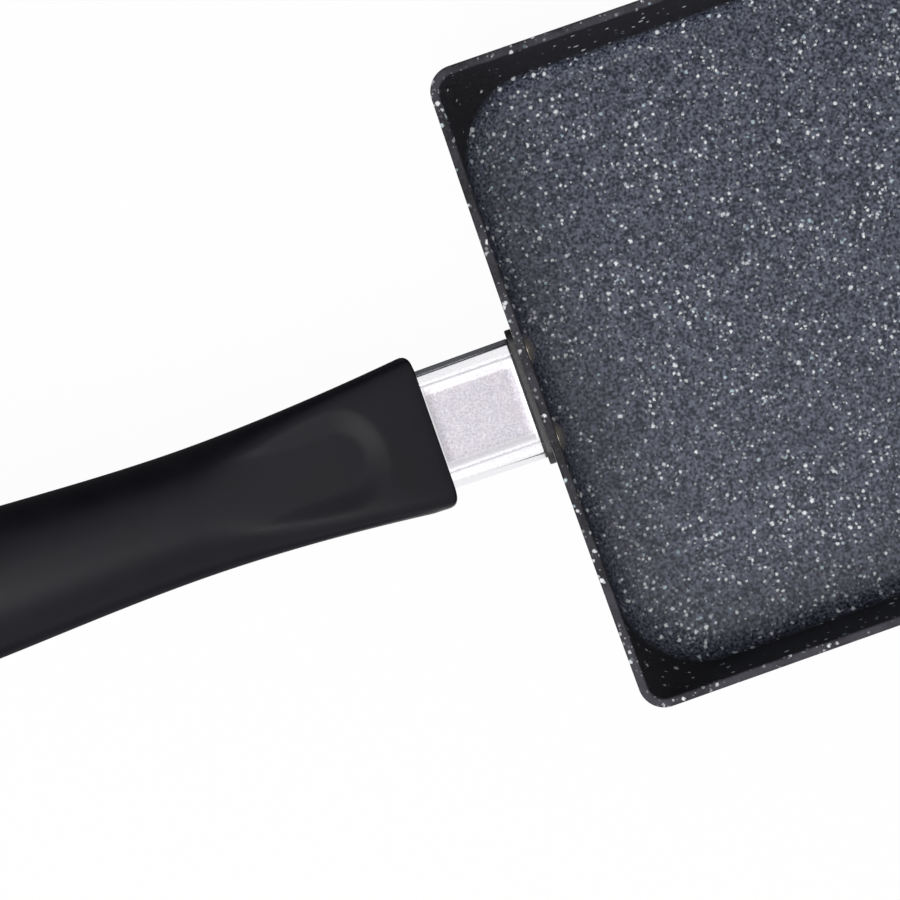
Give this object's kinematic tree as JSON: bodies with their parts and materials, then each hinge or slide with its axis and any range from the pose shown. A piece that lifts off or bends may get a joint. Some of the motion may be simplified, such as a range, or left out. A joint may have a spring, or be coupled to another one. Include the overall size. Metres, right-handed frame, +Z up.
{
  "type": "rolled-omelette pan",
  "caption": "Rectangular non-stick omelette pan with a speckled coating, riveted bracket, metal sleeve and moulded black grip with a thumb rest.",
  "frame": {"origin": "centre of the flat face that the pan rests on", "axes": "+X along the pan, away from the handle; +Y across it; +Z up, from the resting face to the rim"},
  "size_m": [0.3636, 0.15, 0.0707],
  "materials": {
    "speckled_coating": "dark slate non-stick coating with white speckles, over aluminium",
    "rivet_metal": "polished, slightly warm",
    "bracket_black": "satin black",
    "satin_steel": "satin, with a fine-grained panel between polished edges",
    "black_bakelite": "matte moulded black",
    "zinc_steel": "zinc plated",
    "nut_brass": "machined"
  },
  "bodies": {
    "root": {"pan_body": "speckled_coating", "rivets": "rivet_metal", "handle_bracket": "bracket_black", "flame_guard_sleeve": "satin_steel", "handle_grip": "black_bakelite", "tie_screw": "zinc_steel", "spring_washer": "zinc_steel", "flat_washer": "zinc_steel", "tie_nut": "nut_brass"}
  },
  "joints": []
}
